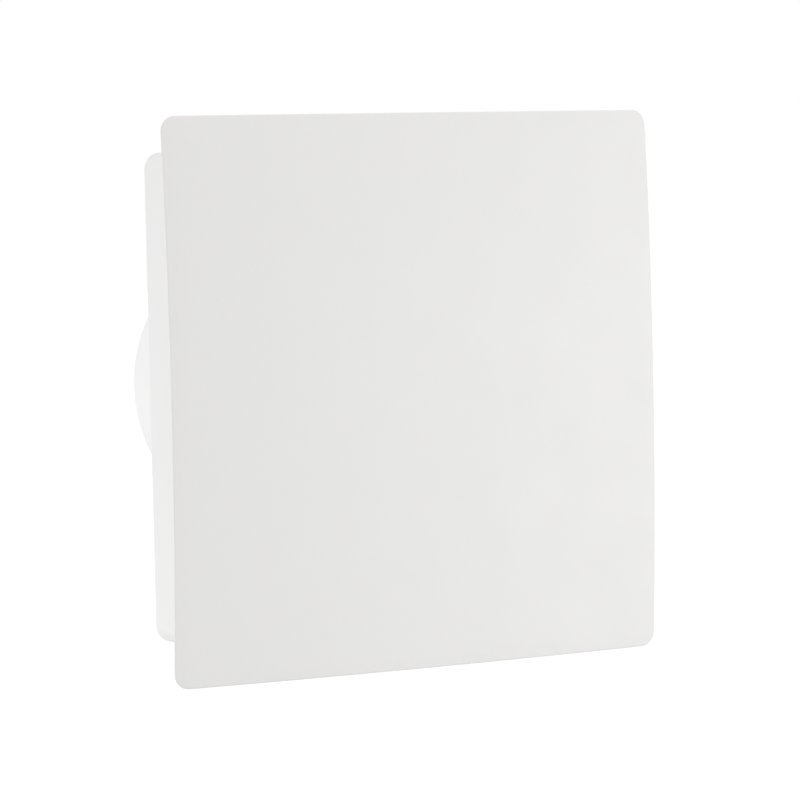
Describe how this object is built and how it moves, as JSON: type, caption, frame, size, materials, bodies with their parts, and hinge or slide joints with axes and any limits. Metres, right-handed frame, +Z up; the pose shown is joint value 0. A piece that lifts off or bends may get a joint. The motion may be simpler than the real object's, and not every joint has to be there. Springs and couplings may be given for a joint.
{
  "type": "heat recovery unit",
  "caption": "Single-room heat recovery unit: domed square cover standing off a square wall housing, and a round duct spigot with a reversing fan and a ceramic heat store.",
  "frame": {"origin": "on the duct axis, in the plane of the wall that the housing's back lies against", "axes": "+Z up, the cover faces -Y, the duct spigot runs along +Y, +X is right as seen from the room"},
  "size_m": [0.18, 0.1149, 0.18],
  "materials": {
    "cover_white": "satin moulded plastic, very fine grain",
    "housing_white": "satin moulded plastic",
    "spigot_white": "satin moulded plastic",
    "plate_plastic": "satin moulded plastic",
    "duct_plastic": "moulded plastic",
    "fan_plastic": "glass filled plastic",
    "foam": "closed cell foam",
    "sound_foam": "open cell foam",
    "filter_mat": "fibre mat",
    "felt": "felt",
    "rubber_black": "soft rubber",
    "steel": "zinc plated or ground steel",
    "magnet": "bonded ferrite",
    "laminations": "stacked steel sheets",
    "copper": "enamelled copper wire",
    "board_green": "lacquered circuit board",
    "ceramic": "unglazed cordierite",
    "terminal_plastic": "nylon",
    "black_plastic": "black plastic",
    "wire_black": "soft sheath",
    "wire_red": "soft sheath",
    "wire_grey": "soft sheath",
    "capacitor_sleeve": "shrink sleeve",
    "trimmer_blue": "moulded plastic",
    "dial_white": "moulded plastic",
    "light_clear": "clear plastic"
  },
  "bodies": {
    "unit": {"housing": "housing_white", "cover_clips": "steel", "housing_screws": "steel", "wall_plate": "plate_plastic", "wall_gasket": "foam", "duct_spigot": "spigot_white", "spigot_screws": "steel", "inlet_bell": "duct_plastic", "bell_screws": "steel", "filter_frame": "housing_white", "room_filter": "filter_mat", "fan_casing": "fan_plastic", "front_bearing": "steel", "rear_bearing": "steel", "stator_core": "laminations", "stator_coils": "copper", "motor_board": "board_green", "motor_lead": "wire_black", "core_seal": "rubber_black", "core_casing": "duct_plastic", "core_wrap": "felt", "ceramic_core": "ceramic", "outdoor_filter": "filter_mat", "core_end_grid": "duct_plastic", "terminal_block": "terminal_plastic", "terminal_screws": "steel", "cable_grommet": "rubber_black", "cable_clamp": "housing_white", "clamp_screws": "steel", "power_supply": "black_plastic", "supply_lead": "wire_black", "low_voltage_lead": "wire_red", "control_board": "board_green", "processor": "black_plastic", "capacitor": "capacitor_sleeve", "board_connectors": "terminal_plastic", "board_screws": "steel", "mode_switch": "black_plastic", "button_spring": "steel", "slider_switch": "black_plastic", "trimmers": "trimmer_blue", "status_led": "light_clear", "status_light": "light_clear", "sensor_board": "board_green", "humidity_sensor": "dial_white", "sensor_lead": "wire_grey"},
    "cover": {"front_cover": "cover_white", "cover_seal": "foam", "sound_pad": "sound_foam"},
    "rotor": {"impeller": "fan_plastic", "rotor_can": "steel", "rotor_magnet": "magnet", "motor_shaft": "steel", "preload_washer": "steel", "shaft_clip": "steel"},
    "mode_key": {"mode_button": "housing_white"},
    "speed_key": {"speed_slider": "housing_white"},
    "humidity_trimmer": {"humidity_dial": "dial_white"},
    "timer_trimmer": {"timer_dial": "dial_white"}
  },
  "joints": [
    {"name": "cover_slide", "type": "slide", "parent": "unit", "child": "cover", "axis": [0, -1, 0], "range_m": [-0.009, 0.06]},
    {"name": "fan_spin", "type": "hinge", "parent": "unit", "child": "rotor", "pos_m": [0, 0, 0], "axis": [0, 1, 0], "continuous": true},
    {"name": "mode_press", "type": "slide", "parent": "unit", "child": "mode_key", "axis": [-1, 0, 0], "range_m": [0, 0.001], "stiffness_N_per_m": 300, "deforming": ["button_spring"]},
    {"name": "speed_slide", "type": "slide", "parent": "unit", "child": "speed_key", "axis": [1, 0, 0], "range_m": [-0.003, 0.003]},
    {"name": "humidity_turn", "type": "hinge", "parent": "unit", "child": "humidity_trimmer", "pos_m": [0.044, -0.0192, -0.063], "axis": [0, -1, 0], "range_deg": [-135, 135]},
    {"name": "timer_turn", "type": "hinge", "parent": "unit", "child": "timer_trimmer", "pos_m": [0.054, -0.0192, -0.063], "axis": [0, -1, 0], "range_deg": [-135, 135]}
  ]
}
